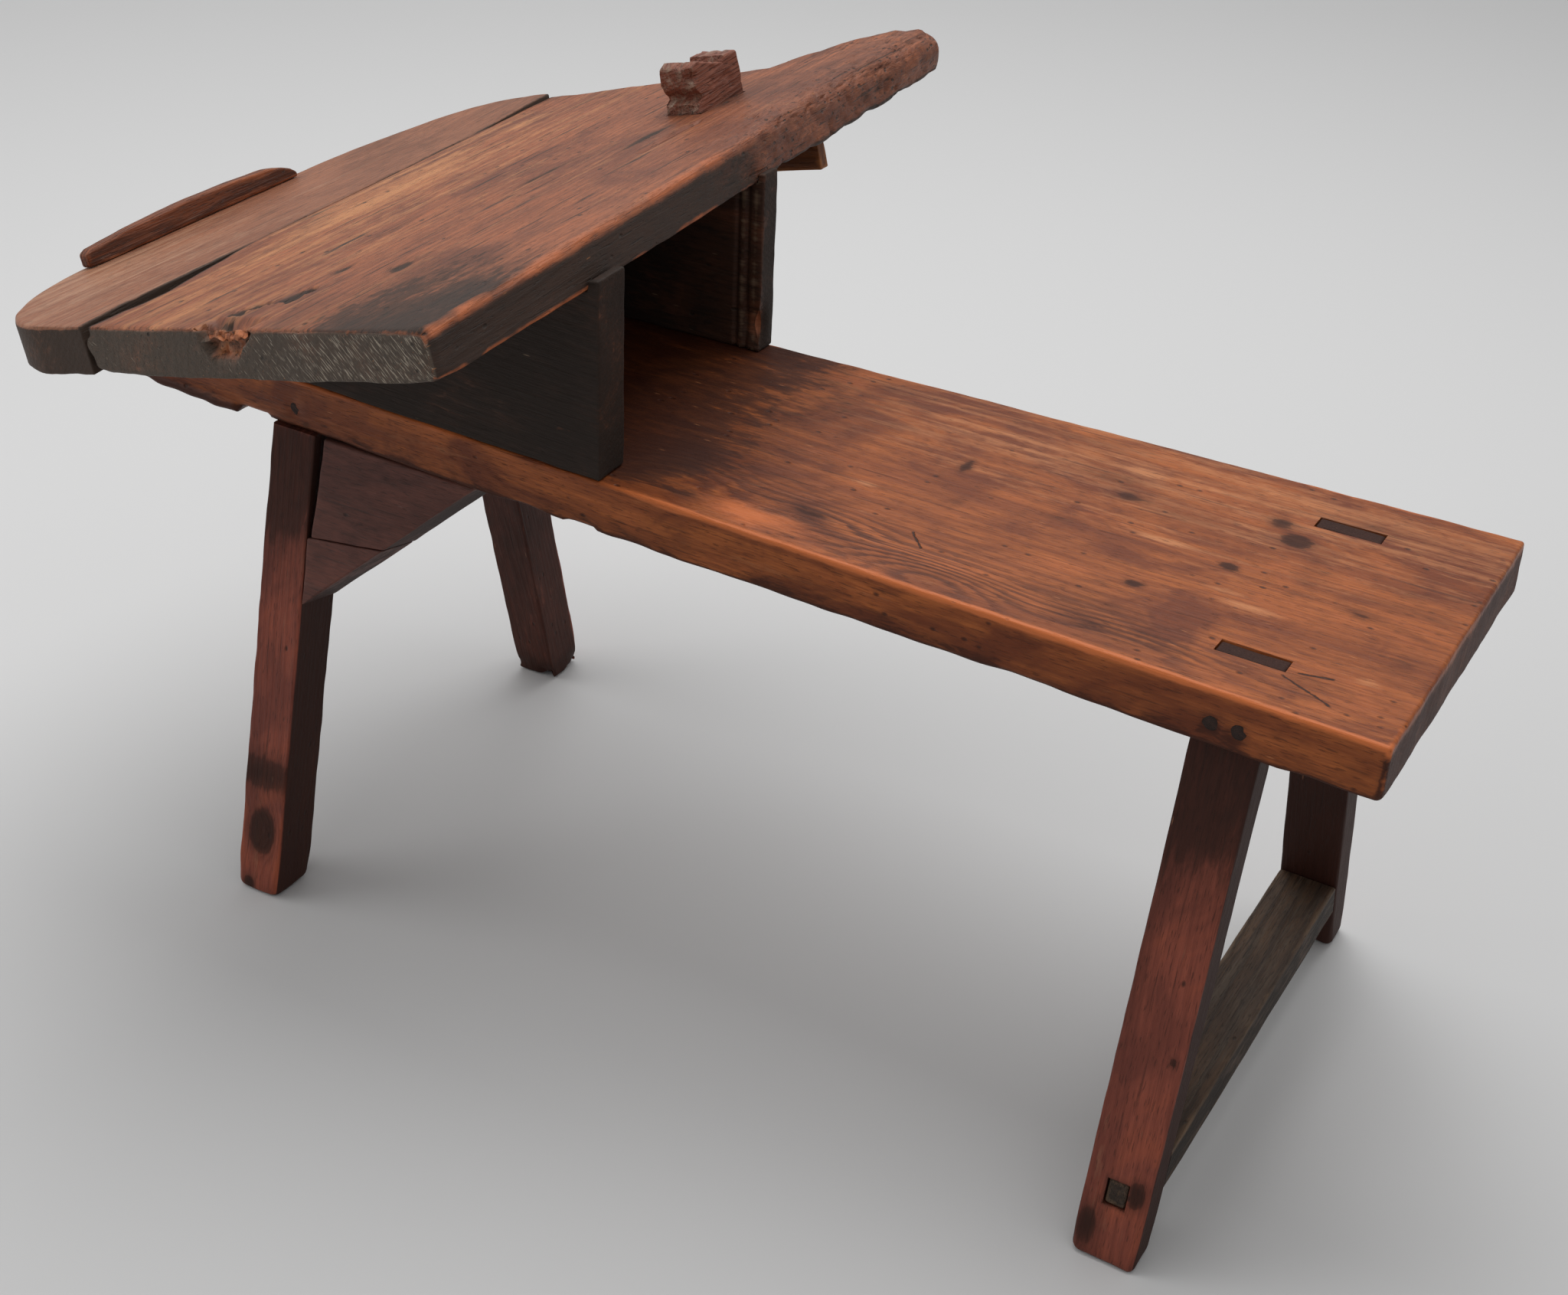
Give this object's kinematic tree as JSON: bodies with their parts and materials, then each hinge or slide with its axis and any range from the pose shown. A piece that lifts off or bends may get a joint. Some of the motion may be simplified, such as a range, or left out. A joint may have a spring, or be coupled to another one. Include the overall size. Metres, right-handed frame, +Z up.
{
  "type": "cobbler's bench",
  "caption": "Low wooden cobbler's bench: tapering seat plank on splayed legs, sloping work top on wedge supports over an open bay, with a raised sliding stop and a lip.",
  "frame": {"origin": "bottom centre of the bounding box, on the floor under the bench", "axes": "+X along the seat plank towards the seat end, -Y towards the near long side, +Z up"},
  "size_m": [1.02, 0.737, 0.6008],
  "materials": {
    "seat_wood": "worn glossy orange-brown",
    "leg_wood": "dull red-brown",
    "stretcher_wood": "dry grey-brown",
    "top_wood": "worn brown with pale streaks",
    "support_wood": "near-black brown",
    "peg_wood": "dark end grain",
    "nail_iron": "dark rusted iron"
  },
  "bodies": {
    "bench": {"seat_plank": "seat_wood", "near_seat_leg": "leg_wood", "far_seat_leg": "leg_wood", "seat_leg_stretcher": "stretcher_wood", "near_work_leg": "leg_wood", "far_work_leg": "leg_wood", "near_upper_brace": "leg_wood", "near_lower_brace": "leg_wood", "far_upper_brace": "leg_wood", "far_lower_brace": "leg_wood", "near_support": "support_wood", "far_support": "support_wood", "wide_top_board": "top_wood", "low_top_board": "top_wood", "lip": "leg_wood", "cleat": "leg_wood", "near_seat_leg_peg_1": "peg_wood", "near_seat_leg_peg_2": "peg_wood", "far_seat_leg_peg_1": "peg_wood", "far_seat_leg_peg_2": "peg_wood", "near_work_leg_peg_1": "peg_wood", "far_work_leg_peg_1": "peg_wood", "near_wide_top_nail_1": "nail_iron", "near_wide_top_nail_2": "nail_iron", "near_low_top_nail_1": "nail_iron", "far_wide_top_nail_1": "nail_iron", "far_wide_top_nail_2": "nail_iron", "far_low_top_nail_1": "nail_iron", "near_support_nail_1": "nail_iron", "near_support_nail_2": "nail_iron", "far_support_nail_1": "nail_iron", "far_support_nail_2": "nail_iron", "lip_nail_1": "nail_iron", "lip_nail_2": "nail_iron", "lip_nail_3": "nail_iron", "cleat_nail_1": "nail_iron", "cleat_nail_2": "nail_iron"},
    "stop": {"bench_stop": "top_wood"}
  },
  "joints": [
    {"name": "stop_slide", "type": "slide", "parent": "bench", "child": "stop", "axis": [-0.2436, 0, 0.9699], "range_m": [-0.039, 0.028]}
  ]
}
